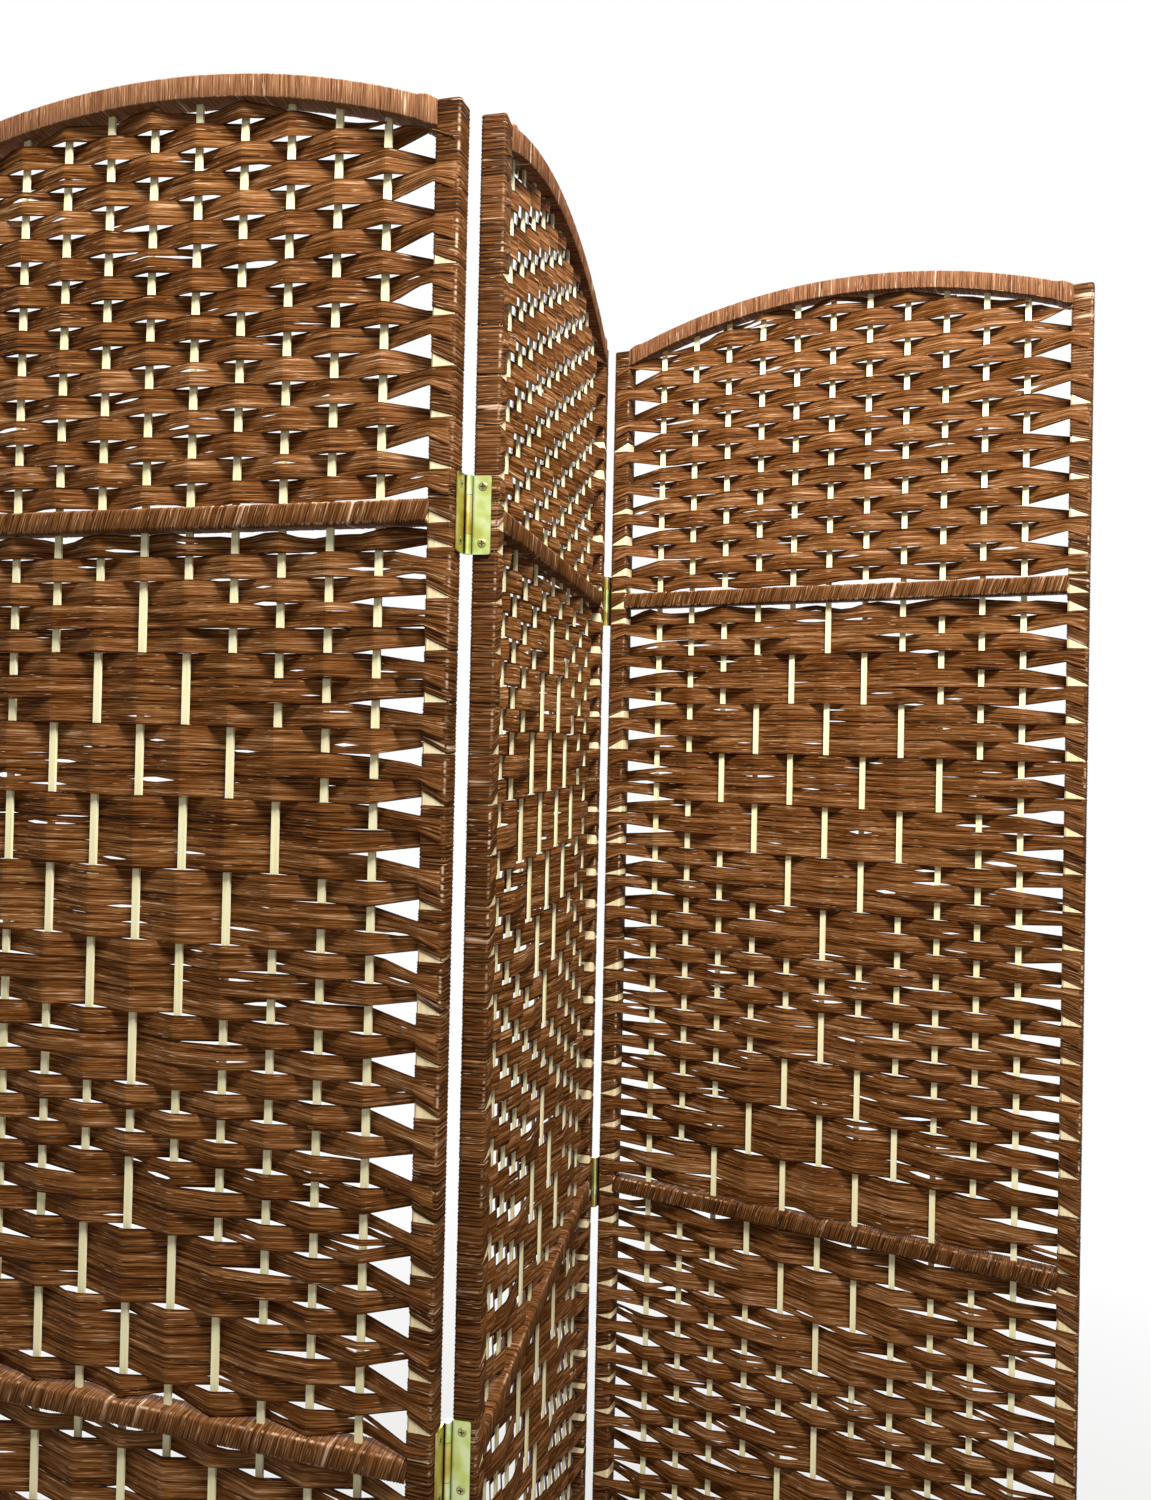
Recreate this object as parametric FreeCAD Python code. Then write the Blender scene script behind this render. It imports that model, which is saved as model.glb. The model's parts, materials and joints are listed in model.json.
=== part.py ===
import FreeCAD, Part
import math
import os

from FreeCAD import Placement, Rotation, Vector

# Folding screen of three panels. Each panel is a pine frame with an arched top rail,
# wound all over with flat paper-fibre ribbon, and filled with ribbon bands woven over
# and under thin bamboo stakes. Butt hinges on the edges let the panels fold in a zigzag.
# Lengths are in millimetres and angles in degrees. In a panel's own frame X runs along
# the panel from its left edge, Y runs from its front face to its back, and Z runs up.

# Driving dimensions of the frame
panel_width = 450.0
stile_height = 1760.0
stile_wood_width = 16.5
rail_wood_height = 14.5
frame_wood_depth = 16.0
wood_chamfer = 1.5
end_bay = 256.5
foot_length = 60.0
arch_rise = 40.0
arch_end_rise = 2.0

# Driving dimensions of the ribbon winding
wrap_thickness = 1.0
wrap_chamfer = 2.1
wrap_foot_gap = 6.0
wrap_clearance = 0.2

# Driving dimensions of the stakes
stake_count = 11
stake_width = 5.0
stake_thickness = 2.0
stake_clearance = 0.15
socket_depth = 5.0
socket_end_room = 0.5

# Driving dimensions of the woven bands
band_height = 15.6
band_spacing = 0.4
band_thickness = 0.8
band_wave = 4.0
band_turn = 6.0
band_clearance = 0.3
band_least_height = 5.0

# The weave draft: a plain weave with a column of diamonds up the middle of the panel.
# Each diamond is stepped in groups of rows, and these are its half widths in stakes.
diamond_steps = (0, 1, 2, 3, 2, 1, 0)
rows_per_step = 3
plain_steps_between = 1
diamond_start_row = {"left_panel": 2, "middle_panel": 2, "right_panel": 0}

# Driving dimensions of the nails that hold the rails to the stiles
nail_radius = 1.0
nail_head_radius = 2.0
nail_head_height = 0.8
rail_nail_length = 35.0
arch_nail_length = 26.0
arch_nail_drop = 6.0
nail_clearance = 0.05

# Driving dimensions of the hinges
hinge_length = 50.0
leaf_reach = 13.0
leaf_thickness = 1.2
leaf_corner_radius = 1.5
knuckle_radius = 2.5
knuckle_room = 0.3
knuckle_edge_gap = 0.1
pin_radius = 1.25
pin_clearance = 0.05
pin_stand_off = 1.5
end_knuckle_length = 12.5

# Driving dimensions of the hinge screws
screw_end_inset = 7.0
screw_inset = 7.5
screw_radius = 1.5
screw_length = 9.0
screw_tip_length = 3.0
screw_tip_radius = 0.3
screw_head_radius = 2.9
screw_dome_radius = 2.2
screw_dome_height = 0.4
screw_clearance = 0.05
recess_length = 3.4
recess_width = 0.8
recess_depth = 0.9

# How the panels stand: the middle panel's heading, and how far each fold is turned
# away from the flat, spread-out screen.
middle_heading = 80.0
left_fold_turn = 95.0
right_fold_turn = 107.0

# Sizes that follow from the driving dimensions
stile_width = stile_wood_width + 2 * wrap_thickness
rail_height = rail_wood_height + 2 * wrap_thickness
frame_depth = frame_wood_depth + 2 * wrap_thickness
mid_depth = frame_depth / 2
mid_width = panel_width / 2
wood_left = wrap_thickness + stile_wood_width
wood_right = panel_width - wood_left
clear_left = stile_width
clear_right = panel_width - stile_width
stake_pitch = (clear_right - clear_left) / (stake_count + 1)
row_pitch = band_height + band_spacing

bottom_rail_level = foot_length
lower_rail_level = bottom_rail_level + end_bay
upper_rail_level = stile_height - end_bay
middle_rail_level = (lower_rail_level + upper_rail_level) / 2
rail_levels = {
    "upper_rail": upper_rail_level,
    "middle_rail": middle_rail_level,
    "lower_rail": lower_rail_level,
    "bottom_rail": bottom_rail_level,
}
hinge_levels = (upper_rail_level, middle_rail_level, lower_rail_level)

arch_half_span = mid_width - stile_width
arch_sag = arch_rise - arch_end_rise
arch_radius = (arch_half_span ** 2 + arch_sag ** 2) / (2 * arch_sag)
arch_centre_level = stile_height + arch_rise - arch_radius
arch_wood_top = arch_radius - wrap_thickness
arch_wood_bottom = arch_wood_top - rail_wood_height
arch_bottom = arch_radius - rail_height

pin_edge_gap = knuckle_radius + knuckle_edge_gap
middle_knuckle_length = hinge_length - 2 * end_knuckle_length
screw_spacing = hinge_length - 2 * screw_end_inset
rounding = 1e-6


def same(a, b):
    """Whether two places agree, apart from rounding."""
    return abs(a - b) < rounding


def box(x0, x1, y0, y1, z0, z1):
    """A block between two corners given in any order."""
    corner = Vector(min(x0, x1), min(y0, y1), min(z0, z1))
    return Part.makeBox(abs(x1 - x0), abs(y1 - y0), abs(z1 - z0), corner)


def prism(points, sweep):
    """A straight solid from a flat outline and a sweep vector."""
    outline = Part.makePolygon(points + [points[0]])
    return Part.Face(outline).extrude(sweep)


def octagon(a0, a1, b0, b1, chamfer):
    """Corners of a rectangle whose four corners are cut off."""
    return [
        (a0 + chamfer, b0), (a1 - chamfer, b0), (a1, b0 + chamfer), (a1, b1 - chamfer),
        (a1 - chamfer, b1), (a0 + chamfer, b1), (a0, b1 - chamfer), (a0, b0 + chamfer),
    ]


def upright_bar(x0, x1, inset, z0, z1, chamfer):
    """A chamfered bar along Z, with its front and back set in from the frame's faces."""
    corners = octagon(x0, x1, inset, frame_depth - inset, chamfer)
    return prism([Vector(x, y, z0) for x, y in corners], Vector(0, 0, z1 - z0))


def level_bar(x0, x1, inset, level, height, chamfer):
    """A chamfered bar along X, centred on a level."""
    corners = octagon(inset, frame_depth - inset, level - height / 2, level + height / 2, chamfer)
    return prism([Vector(x0, y, z) for y, z in corners], Vector(x1 - x0, 0, 0))


def arch_level(x, radius):
    """Height of the arch's curve of a given radius at a place along the panel."""
    return arch_centre_level + math.sqrt(radius ** 2 - (x - mid_width) ** 2)


def arch_bar(x0, x1, inset, outer_radius, inner_radius):
    """A curved bar between two upright end cuts."""
    def on_curve(x, radius):
        return Vector(x, inset, arch_level(x, radius))
    top = Part.Arc(*[on_curve(x, outer_radius) for x in (x0, mid_width, x1)])
    bottom = Part.Arc(*[on_curve(x, inner_radius) for x in (x1, mid_width, x0)])
    right_end = Part.LineSegment(on_curve(x1, outer_radius), on_curve(x1, inner_radius))
    left_end = Part.LineSegment(on_curve(x0, inner_radius), on_curve(x0, outer_radius))
    wire = Part.Wire([edge.toShape() for edge in (top, right_end, bottom, left_end)])
    return Part.Face(wire).extrude(Vector(0, frame_depth - 2 * inset, 0))


def stake_place(number):
    """Centre line of a stake along the panel, numbered from 1 at the left."""
    return clear_left + number * stake_pitch


def stake_top(number):
    """Top end of a stake, inside its socket in the arched rail."""
    return arch_level(stake_place(number), arch_wood_bottom) + socket_depth


stake_foot = bottom_rail_level + rail_wood_height / 2 - socket_depth


def stake(number, side_room, end_room):
    """A stake, or the slot for it when it is given room."""
    x = stake_place(number)
    half_width = stake_width / 2 + side_room
    half_thickness = stake_thickness / 2 + side_room
    return box(x - half_width, x + half_width, mid_depth - half_thickness, mid_depth + half_thickness,
               stake_foot, stake_top(number) + end_room)


stake_numbers = range(1, stake_count + 1)
stakes = Part.makeCompound([stake(number, 0, 0) for number in stake_numbers])
stake_slots = Part.makeCompound(
    [stake(number, stake_clearance, socket_end_room) for number in stake_numbers])


def stake_shows(row, number, start_row):
    """Whether a stake lies in front of a row's band. Rows count down from the upper rail."""
    steps_in_repeat = len(diamond_steps) + plain_steps_between
    step = ((row - start_row) // rows_per_step) % steps_in_repeat
    in_pattern = row >= start_row and step < len(diamond_steps)
    from_middle = abs(number - (stake_count + 1) / 2)
    if in_pattern and from_middle <= diamond_steps[step] + 1:
        return (step + number) % 2 == 0
    return (row + number) % 2 == 0


def depth_along(path, place):
    """Depth of a zigzag path at a place along the panel."""
    for (x0, y0), (x1, y1) in zip(path, path[1:]):
        if x0 <= place <= x1:
            return y0 + (y1 - y0) * (place - x0) / (x1 - x0)


def band(row, start_row, z0, left, right):
    """One woven band, a thin strip that zigzags round the stakes between two ends."""
    def depth(number, swing):
        return mid_depth + swing if stake_shows(row, number, start_row) else mid_depth - swing
    whole = [(clear_left, depth(0, band_turn))]
    whole += [(stake_place(number), depth(number, band_wave)) for number in stake_numbers]
    whole.append((clear_right, depth(stake_count + 1, band_turn)))
    path = [(x, y) for x, y in whole if left < x < right]
    path.insert(0, (left, depth_along(whole, left)))
    path.append((right, depth_along(whole, right)))
    front = [Vector(x, y - band_thickness / 2, z0) for x, y in path]
    back = [Vector(x, y + band_thickness / 2, z0) for x, y in reversed(path)]
    return prism(front + back, Vector(0, 0, band_height))


def full_bay(first_row, start_row, top_level, bottom_level):
    """Bands from stile to stile between two rails, spread evenly over the bay."""
    height = top_level - bottom_level - rail_height
    count = int(height / row_pitch)
    pitch = height / count
    first_top = top_level - rail_height / 2 - (pitch - band_height) / 2
    left = clear_left + band_clearance
    right = clear_right - band_clearance
    bands = []
    for place in range(count):
        z0 = first_top - place * pitch - band_height
        bands.append(band(first_row + place, start_row, z0, left, right))
    return bands


def arched_bay(start_row):
    """Bands above the upper rail. The top ones are trimmed along the arched rail."""
    room_radius = arch_bottom - band_clearance
    arch_centre = Vector(mid_width, 0, arch_centre_level)
    under_arch = Part.makeCylinder(room_radius, frame_depth, arch_centre, Vector(0, 1, 0))
    bands = []
    row = -1
    z0 = upper_rail_level + rail_height / 2 + band_spacing / 2
    while z0 + band_least_height < arch_centre_level + room_radius:
        reach = z0 + band_least_height - arch_centre_level
        half_length = min(math.sqrt(room_radius ** 2 - reach ** 2), arch_half_span - band_clearance)
        strip = band(row, start_row, z0, mid_width - half_length, mid_width + half_length)
        corner = Vector(half_length, 0, z0 + band_height - arch_centre_level)
        bands.append(strip.common(under_arch) if corner.Length > room_radius else strip)
        row -= 1
        z0 += row_pitch
    return bands


def nail(level, length, room):
    """A nail driven in from a left stile's outer side, or its hole when it is given room."""
    start = Vector(wrap_thickness, mid_depth, level)
    inwards = Vector(1, 0, 0)
    shank = Part.makeCylinder(nail_radius + room, length + room, start, inwards)
    head = Part.makeCylinder(nail_head_radius + room, nail_head_height + room, start, inwards)
    return shank.fuse(head).removeSplitter()


def both_sides(shape):
    """A shape at the left edge of the panel and the same one turned round at the right edge."""
    turned = shape.copy()
    turned.rotate(Vector(mid_width, mid_depth, 0), Vector(0, 0, 1), 180)
    return [shape, turned]


def frame_nails(room):
    """Every nail of a panel, one at each end of each rail."""
    shapes = both_sides(nail(stile_height - arch_nail_drop, arch_nail_length, room))
    for level in rail_levels.values():
        shapes += both_sides(nail(level, rail_nail_length, room))
    return Part.makeCompound(shapes)


def pin_place(edge, fold):
    """Where a hinge pin stands in the panel's own frame. The edge is -1 for left and 1 for right,
    and the fold is 1 when the panels fold back to back and -1 when they fold front to front."""
    x = panel_width + pin_edge_gap if edge > 0 else -pin_edge_gap
    y = frame_depth + pin_stand_off if fold > 0 else -pin_stand_off
    return Vector(x, y, 0)


def screw_levels():
    """Heights of the hinge screws, two on each leaf."""
    return [level + offset for level in hinge_levels for offset in (-screw_spacing / 2, screw_spacing / 2)]


def screw_depth(fold):
    """How far the screws stand from the pin, across the panel's edge."""
    return -fold * (pin_stand_off + screw_inset)


def knuckle_ranges(level, outer):
    """Heights taken by a leaf's knuckles: one long middle one, or two short outer ones."""
    half_middle = middle_knuckle_length / 2
    if outer:
        return [(level - hinge_length / 2, level - half_middle - knuckle_room / 2),
                (level + half_middle + knuckle_room / 2, level + hinge_length / 2)]
    return [(level - half_middle + knuckle_room / 2, level + half_middle - knuckle_room / 2)]


def upright_cylinder(radius, z0, z1):
    """A round bar along the hinge axis."""
    return Part.makeCylinder(radius, z1 - z0, Vector(0, 0, z0))


def hinge_leaf(edge, fold, level, outer):
    """A leaf with its knuckles, in a frame whose Z axis is the pin."""
    side = -edge
    free_edge = -fold * (pin_stand_off + leaf_reach)
    plate = box(side * (pin_edge_gap - leaf_thickness), side * pin_edge_gap, free_edge, 0,
                level - hinge_length / 2, level + hinge_length / 2)
    corners = [line for line in plate.Edges
               if all(same(vertex.Y, free_edge) for vertex in line.Vertexes)
               and same(line.Vertexes[0].Z, line.Vertexes[1].Z)]
    leaf = plate.makeFillet(leaf_corner_radius, corners)
    for z0, z1 in knuckle_ranges(level, outer):
        leaf = leaf.fuse(upright_cylinder(knuckle_radius, z0, z1))
    for z0, z1 in knuckle_ranges(level, not outer):
        turning_room = upright_cylinder(knuckle_radius + knuckle_room, z0 - knuckle_room, z1 + knuckle_room)
        leaf = leaf.cut(turning_room)
    bore = upright_cylinder(pin_radius + pin_clearance, level - hinge_length, level + hinge_length)
    leaf = leaf.cut(bore)
    for offset in (-screw_spacing / 2, screw_spacing / 2):
        mouth = Vector(side * (pin_edge_gap - leaf_thickness), screw_depth(fold), level + offset)
        countersink = Part.makeCone(screw_head_radius + screw_clearance, screw_radius + screw_clearance,
                                    leaf_thickness, mouth, Vector(side, 0, 0))
        leaf = leaf.cut(countersink)
    return leaf.removeSplitter()


def hinge_screw(edge, fold, level):
    """A cross-head wood screw through a leaf, in a frame whose Z axis is the pin."""
    side = -edge
    inwards = Vector(side, 0, 0)
    y = screw_depth(fold)
    plate_face = side * (pin_edge_gap - leaf_thickness)
    dome_face = plate_face - side * screw_dome_height
    dome = Part.makeCone(screw_dome_radius, screw_head_radius, screw_dome_height,
                         Vector(dome_face, y, level), inwards)
    head = Part.makeCone(screw_head_radius, screw_radius, leaf_thickness,
                         Vector(plate_face, y, level), inwards)
    shank = Part.makeCylinder(screw_radius, screw_length, Vector(side * pin_edge_gap, y, level), inwards)
    tip_start = Vector(side * (pin_edge_gap + screw_length), y, level)
    tip = Part.makeCone(screw_radius, screw_tip_radius, screw_tip_length, tip_start, inwards)
    screw = dome.fuse([head, shank, tip])
    recess_floor = dome_face + side * recess_depth
    for along, across in ((recess_length, recess_width), (recess_width, recess_length)):
        slot = box(dome_face - side * recess_depth, recess_floor, y - along / 2, y + along / 2,
                   level - across / 2, level + across / 2)
        screw = screw.cut(slot)
    return screw.removeSplitter()


def screw_hole(edge, fold, level):
    """The hole that a hinge screw cuts in a stile and its winding."""
    side = -edge
    start = Vector(side * pin_edge_gap, screw_depth(fold), level)
    length = screw_length + screw_tip_length + screw_clearance
    return Part.makeCylinder(screw_radius + screw_clearance, length, start, Vector(side, 0, 0))


def at_pin(shapes, edge, fold):
    """Hinge pieces moved from the pin's frame to the panel's."""
    group = Part.makeCompound(shapes)
    group.translate(pin_place(edge, fold))
    return group


def stile_wrap(left_side, rail_ends, holes):
    """The winding on one stile, closed over its top end and open where the rails come in."""
    x0 = 0 if left_side else clear_right
    x1 = clear_left if left_side else panel_width
    wood_x0 = wrap_thickness if left_side else wood_right
    wood_x1 = wood_left if left_side else panel_width - wrap_thickness
    sleeve = upright_bar(x0, x1, 0, wrap_foot_gap, stile_height, wrap_chamfer)
    wood = upright_bar(wood_x0, wood_x1, wrap_thickness, 0, stile_height - wrap_thickness, wood_chamfer)
    return sleeve.cut([wood, rail_ends] + holes)


def rail_end_room():
    """Room in the stile windings for the bare ends of the rails and the arched rail."""
    y0 = wrap_thickness - wrap_clearance
    y1 = frame_depth - y0
    half = rail_wood_height / 2 + wrap_clearance
    blocks = []
    for level in rail_levels.values():
        blocks.append(box(wood_left, wood_right, y0, y1, level - half, level + half))
    arch_low = arch_level(wood_left, arch_wood_bottom) - wrap_clearance
    arch_high = arch_level(clear_left, arch_wood_top) + wrap_clearance
    blocks.append(box(wood_left, wood_right, y0, y1, arch_low, arch_high))
    return Part.makeCompound(blocks)


def build_panel(name, hinged_edges):
    """Every piece of one panel in the panel's own frame, by node name."""
    start_row = diamond_start_row[name]
    nails = frame_nails(0)
    nail_holes = frame_nails(nail_clearance)
    rail_ends = rail_end_room()
    holes = {-1: [], 1: []}
    for edge, fold in hinged_edges:
        holes[edge] = [at_pin([screw_hole(edge, fold, level) for level in screw_levels()], edge, fold)]

    pieces = {}
    stile_top = stile_height - wrap_thickness
    left_stile = upright_bar(wrap_thickness, wood_left, wrap_thickness, 0, stile_top, wood_chamfer)
    wood_edge = panel_width - wrap_thickness
    right_stile = upright_bar(wood_right, wood_edge, wrap_thickness, 0, stile_top, wood_chamfer)
    pieces["left_stile"] = left_stile.cut([nail_holes] + holes[-1])
    pieces["right_stile"] = right_stile.cut([nail_holes] + holes[1])
    arch = arch_bar(wood_left, wood_right, wrap_thickness, arch_wood_top, arch_wood_bottom)
    pieces["arched_rail"] = arch.cut([nail_holes, stake_slots])
    for rail, level in rail_levels.items():
        wood = level_bar(wood_left, wood_right, wrap_thickness, level, rail_wood_height, wood_chamfer)
        pieces[rail] = wood.cut([nail_holes, stake_slots])
    pieces["frame_nails"] = nails
    pieces["stakes"] = stakes

    wrap_left = clear_left + wrap_clearance
    wrap_right = clear_right - wrap_clearance
    pieces["stile_wraps"] = Part.makeCompound([stile_wrap(True, rail_ends, holes[-1]),
                                               stile_wrap(False, rail_ends, holes[1])])
    arch_wrap = arch_bar(wrap_left, wrap_right, 0, arch_radius, arch_bottom)
    pieces["arch_wrap"] = arch_wrap.cut([arch, stake_slots])
    rail_wraps = []
    for level in rail_levels.values():
        sleeve = level_bar(wrap_left, wrap_right, 0, level, rail_height, wrap_chamfer)
        wood = level_bar(wood_left, wood_right, wrap_thickness, level, rail_wood_height, wood_chamfer)
        rail_wraps.append(sleeve.cut([wood, stake_slots]))
    pieces["rail_wraps"] = Part.makeCompound(rail_wraps)

    upper_rows = full_bay(0, start_row, upper_rail_level, middle_rail_level)
    lower_first = len(upper_rows) + 1
    lower_rows = full_bay(lower_first, start_row, middle_rail_level, lower_rail_level)
    bottom_first = lower_first + len(lower_rows) + 1
    pieces["arch_bay_weave"] = Part.makeCompound(arched_bay(start_row))
    pieces["upper_bay_weave"] = Part.makeCompound(upper_rows)
    pieces["lower_bay_weave"] = Part.makeCompound(lower_rows)
    pieces["bottom_bay_weave"] = Part.makeCompound(
        full_bay(bottom_first, start_row, lower_rail_level, bottom_rail_level))
    return {name + "_" + piece: shape for piece, shape in pieces.items()}


def build_hinges(fold_name, panel_side, edge, fold, outer):
    """The leaves and screws of one fold that stay with one panel, by node name."""
    leaves = [hinge_leaf(edge, fold, level, outer) for level in hinge_levels]
    screws = [hinge_screw(edge, fold, level) for level in screw_levels()]
    return {
        fold_name + "_" + panel_side + "_leaves": at_pin(leaves, edge, fold),
        fold_name + "_" + panel_side + "_screws": at_pin(screws, edge, fold),
    }


def hinge_pins(edge, fold):
    """The pins of one fold, as long as the hinges."""
    half = hinge_length / 2
    pins = [upright_cylinder(pin_radius, level - half, level + half) for level in hinge_levels]
    return at_pin(pins, edge, fold)


# The pieces of each panel, in the panel's own frame
left_edge, right_edge = -1, 1
back_fold, front_fold = 1, -1
left_panel = build_panel("left_panel", [(right_edge, back_fold)])
left_panel.update(build_hinges("left_fold", "left", right_edge, back_fold, False))
middle_panel = build_panel("middle_panel", [(left_edge, back_fold), (right_edge, front_fold)])
middle_panel.update(build_hinges("left_fold", "right", left_edge, back_fold, True))
middle_panel.update(build_hinges("right_fold", "left", right_edge, front_fold, True))
middle_panel["left_fold_pins"] = hinge_pins(left_edge, back_fold)
middle_panel["right_fold_pins"] = hinge_pins(right_edge, front_fold)
right_panel = build_panel("right_panel", [(left_edge, front_fold)])
right_panel.update(build_hinges("right_fold", "right", left_edge, front_fold, False))


def standing(heading, own_pin, floor_pin):
    """Where a panel stands when its pin is at a given place on the floor."""
    turn = Rotation(Vector(0, 0, 1), heading)
    return Placement(floor_pin - turn.multVec(own_pin), turn)


# Stand the panels on the floor, joined at their pins
middle_place = standing(middle_heading, Vector(0, 0, 0), Vector(0, 0, 0))
left_pin = middle_place.multVec(pin_place(left_edge, back_fold))
right_pin = middle_place.multVec(pin_place(right_edge, front_fold))
left_place = standing(middle_heading - left_fold_turn, pin_place(right_edge, back_fold), left_pin)
right_place = standing(middle_heading - right_fold_turn, pin_place(left_edge, front_fold), right_pin)

nodes = {}
for pieces, place in ((left_panel, left_place), (middle_panel, middle_place), (right_panel, right_place)):
    for node, shape in pieces.items():
        placed = shape.copy()
        placed.Placement = place.multiply(placed.Placement)
        nodes[node] = placed

# Move the whole screen so that the origin is on the floor under the middle of its box
screen_box = FreeCAD.BoundBox()
for node, shape in nodes.items():
    if node.endswith("stile_wraps"):
        screen_box.add(shape.BoundBox)
to_middle = Vector(-screen_box.Center.x, -screen_box.Center.y, 0)
os.makedirs("parts", exist_ok=True)
for node, shape in nodes.items():
    shape.translate(to_middle)
    shape.exportStep("parts/" + node + ".step")

print("nodes", len(nodes))
print("left fold axis", left_pin + to_middle)
print("right fold axis", right_pin + to_middle)
foot_middle = Vector(wrap_thickness + stile_wood_width / 2, mid_depth, 0)
print("middle panel's left foot", middle_place.multVec(foot_middle) + to_middle)
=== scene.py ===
import json
import math
import random

import bmesh
import bpy
from mathutils import Matrix, Vector, noise


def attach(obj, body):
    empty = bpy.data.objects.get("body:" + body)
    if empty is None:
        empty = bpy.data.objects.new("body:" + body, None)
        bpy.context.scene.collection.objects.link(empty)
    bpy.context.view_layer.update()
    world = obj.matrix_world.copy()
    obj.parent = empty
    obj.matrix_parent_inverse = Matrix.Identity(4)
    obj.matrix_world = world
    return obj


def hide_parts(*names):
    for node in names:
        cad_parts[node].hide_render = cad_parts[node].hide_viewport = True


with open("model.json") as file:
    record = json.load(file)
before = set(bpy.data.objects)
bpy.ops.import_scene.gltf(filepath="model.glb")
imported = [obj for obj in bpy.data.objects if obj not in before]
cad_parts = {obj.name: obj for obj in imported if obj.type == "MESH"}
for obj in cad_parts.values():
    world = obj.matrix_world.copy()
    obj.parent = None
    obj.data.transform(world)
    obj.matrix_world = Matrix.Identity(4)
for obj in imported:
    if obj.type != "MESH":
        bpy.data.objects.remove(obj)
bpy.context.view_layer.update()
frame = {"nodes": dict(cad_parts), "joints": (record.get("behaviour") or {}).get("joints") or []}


# The standing screen
# Three panels hinged edge to edge stand in a zigzag on the ends of their stiles.
# A panel's own frame has X along it from its left edge, Y from front to back and Z up.
mm = 0.001
panel_width = 450 * mm
frame_depth = 18 * mm
mid_depth = frame_depth / 2
mid_width = panel_width / 2
pin_edge_gap = 2.6 * mm
pin_stand_off = 1.5 * mm
left_pin_behind = Vector((-pin_edge_gap, frame_depth + pin_stand_off, 0))
left_pin_before = Vector((-pin_edge_gap, -pin_stand_off, 0))
right_pin_behind = Vector((panel_width + pin_edge_gap, frame_depth + pin_stand_off, 0))
fold_axis = {joint["name"]: Vector(joint["pos_m"]) for joint in frame["joints"]}
left_heading = -15
middle_heading = 80
right_heading = -27


def standing(heading, own_pin, axis):
    """Where a panel stands, turned by its heading in degrees, with its own hinge pin on a fold's axis."""
    turn = Matrix.Rotation(math.radians(heading), 4, "Z")
    return Matrix.Translation(axis) @ turn @ Matrix.Translation(-own_pin)


panel_place = {
    "left_panel": standing(left_heading, right_pin_behind, fold_axis["left_fold"]),
    "middle_panel": standing(middle_heading, left_pin_behind, fold_axis["left_fold"]),
    "right_panel": standing(right_heading, left_pin_before, fold_axis["right_fold"]),
}


# The pine frame
# Planed pine stiles and rails, butted and nailed, then hidden under the ribbon winding.
# Bare wood shows only in the wedges between turns of the winding and at the feet.
def linear(hex_colour):
    """An sRGB hex colour as linear RGBA for a shader."""
    channels = [int(hex_colour[i:i + 2], 16) / 255 for i in (1, 3, 5)]
    return [c / 12.92 if c <= 0.04045 else ((c + 0.055) / 1.055) ** 2.4 for c in channels] + [1]


def add_node(material, kind, inputs=None, **settings):
    """Adds a node with its settings. An input is a value, or an output to link from."""
    node = material.node_tree.nodes.new(kind)
    for name, value in settings.items():
        setattr(node, name, value)
    for name, value in (inputs or {}).items():
        if isinstance(value, bpy.types.NodeSocket):
            material.node_tree.links.new(value, node.inputs[name])
        else:
            node.inputs[name].default_value = value
    return node


def set_ramp(node, *stops):
    """Gives a colour ramp its stops, each a place and a hex colour."""
    elements = node.color_ramp.elements
    while len(elements) < len(stops):
        elements.new(0.5)
    for element, (place, colour) in zip(elements, stops):
        element.position = place
        element.color = linear(colour)
    return node


def new_material(name):
    """An empty node material with its output's surface left to link."""
    material = bpy.data.materials.new(name)
    material.use_nodes = True
    material.node_tree.nodes.clear()
    return material


def close_material(material, shader):
    """Links the last shader to a new material output."""
    add_node(material, "ShaderNodeOutputMaterial", {"Surface": shader.outputs[0]})
    return material


def planed_pine():
    """Dry planed pine: pale cream with soft tan growth lines running up the grain."""
    growth_line = 2.2 * mm
    grain_length = 70 * mm
    material = new_material("planed_pine")
    place = add_node(material, "ShaderNodeTexCoord").outputs["Object"]
    stretched = add_node(material, "ShaderNodeMapping", {
        "Vector": place, "Scale": (1 / growth_line, 1 / growth_line, 1 / grain_length)})
    grain = add_node(material, "ShaderNodeTexNoise", {
        "Vector": stretched.outputs[0], "Scale": 1, "Detail": 4, "Roughness": 0.6})
    colour = set_ramp(add_node(material, "ShaderNodeValToRGB", {"Fac": grain.outputs["Fac"]}),
                      (0.3, "#e2c58c"), (0.55, "#f1deb0"), (0.8, "#f7ebc8"))
    bump = add_node(material, "ShaderNodeBump", {
        "Height": grain.outputs["Fac"], "Strength": 0.3, "Distance": 0.2 * mm})
    shader = add_node(material, "ShaderNodeBsdfPrincipled", {
        "Base Color": colour.outputs[0], "Normal": bump.outputs[0], "Roughness": 0.62, "IOR": 1.5})
    return close_material(material, shader)


def drawn_steel():
    """Bright drawn wire: grey steel with fine draw marks along the nail."""
    mark_width = 0.3 * mm
    material = new_material("drawn_steel_wire")
    place = add_node(material, "ShaderNodeTexCoord").outputs["Object"]
    marks = add_node(material, "ShaderNodeTexNoise", {"Vector": place, "Scale": 1 / mark_width, "Detail": 2})
    colour = set_ramp(add_node(material, "ShaderNodeValToRGB", {"Fac": marks.outputs["Fac"]}),
                      (0.3, "#8f9092"), (0.7, "#b4b5b6"))
    shader = add_node(material, "ShaderNodeBsdfPrincipled", {
        "Base Color": colour.outputs[0], "Metallic": 1, "Roughness": 0.35})
    return close_material(material, shader)


def dress(node, material):
    """Gives every face of a CAD node one material."""
    mesh = frame["nodes"][node].data
    mesh.materials.clear()
    mesh.materials.append(material)


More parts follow.
